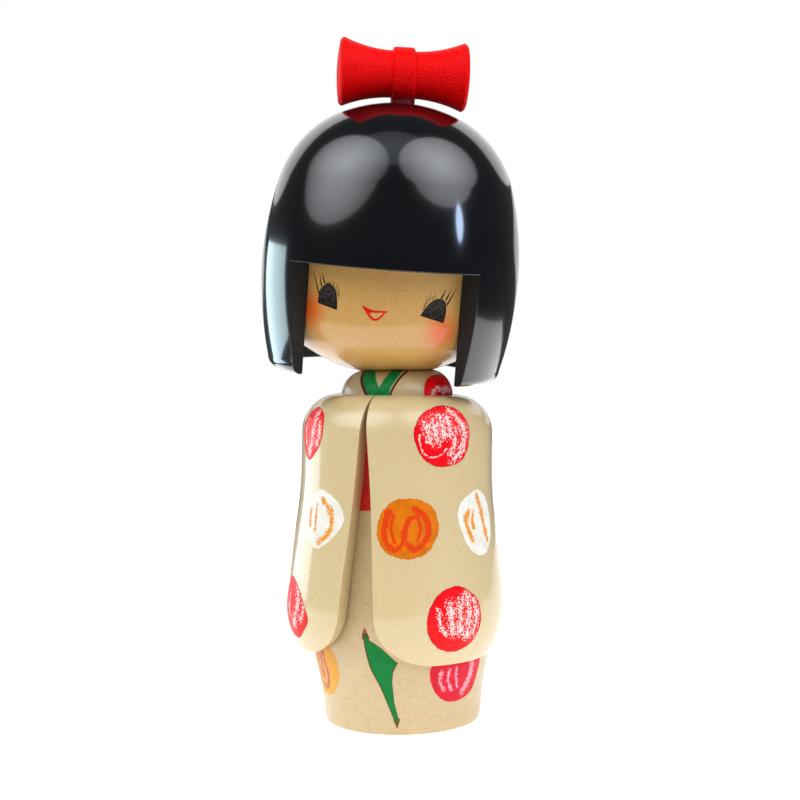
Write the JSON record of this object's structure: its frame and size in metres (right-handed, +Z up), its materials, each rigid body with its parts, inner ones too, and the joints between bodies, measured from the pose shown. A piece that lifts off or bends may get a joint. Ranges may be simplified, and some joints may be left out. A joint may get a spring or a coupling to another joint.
{
  "type": "kokeshi doll",
  "caption": "Turned wooden kokeshi doll with half-bell sleeves, a bobbed black hair cap, a red spool bow and a leaning head that turns on a neck peg.",
  "frame": {"origin": "centre of the flat underside of the base", "axes": "+Z up along the body's turning axis, -Y towards the front of the body, where the slit between the sleeves is, +X to the right as seen from the front"},
  "size_m": [0.0627, 0.0622, 0.163],
  "materials": {
    "body_wood": "clear varnish over hand painting",
    "sleeve_wood": "clear varnish over hand painting",
    "face_wood": "clear varnish over hand painting",
    "hair_lacquer": "gloss black lacquer",
    "bow_lacquer": "satin red lacquer",
    "peg_wood": "bare dowel"
  },
  "bodies": {
    "torso": {"body": "body_wood", "sleeve_left": "sleeve_wood", "sleeve_right": "sleeve_wood", "neck_peg": "peg_wood"},
    "head_group": {"head": "face_wood", "hair_cap": "hair_lacquer", "bow_peg": "peg_wood", "bow": "bow_lacquer"}
  },
  "joints": [
    {"name": "head_turn", "type": "hinge", "parent": "torso", "child": "head_group", "pos_m": [0, 0, 0.0841], "axis": [0, 0, 1], "continuous": true}
  ]
}
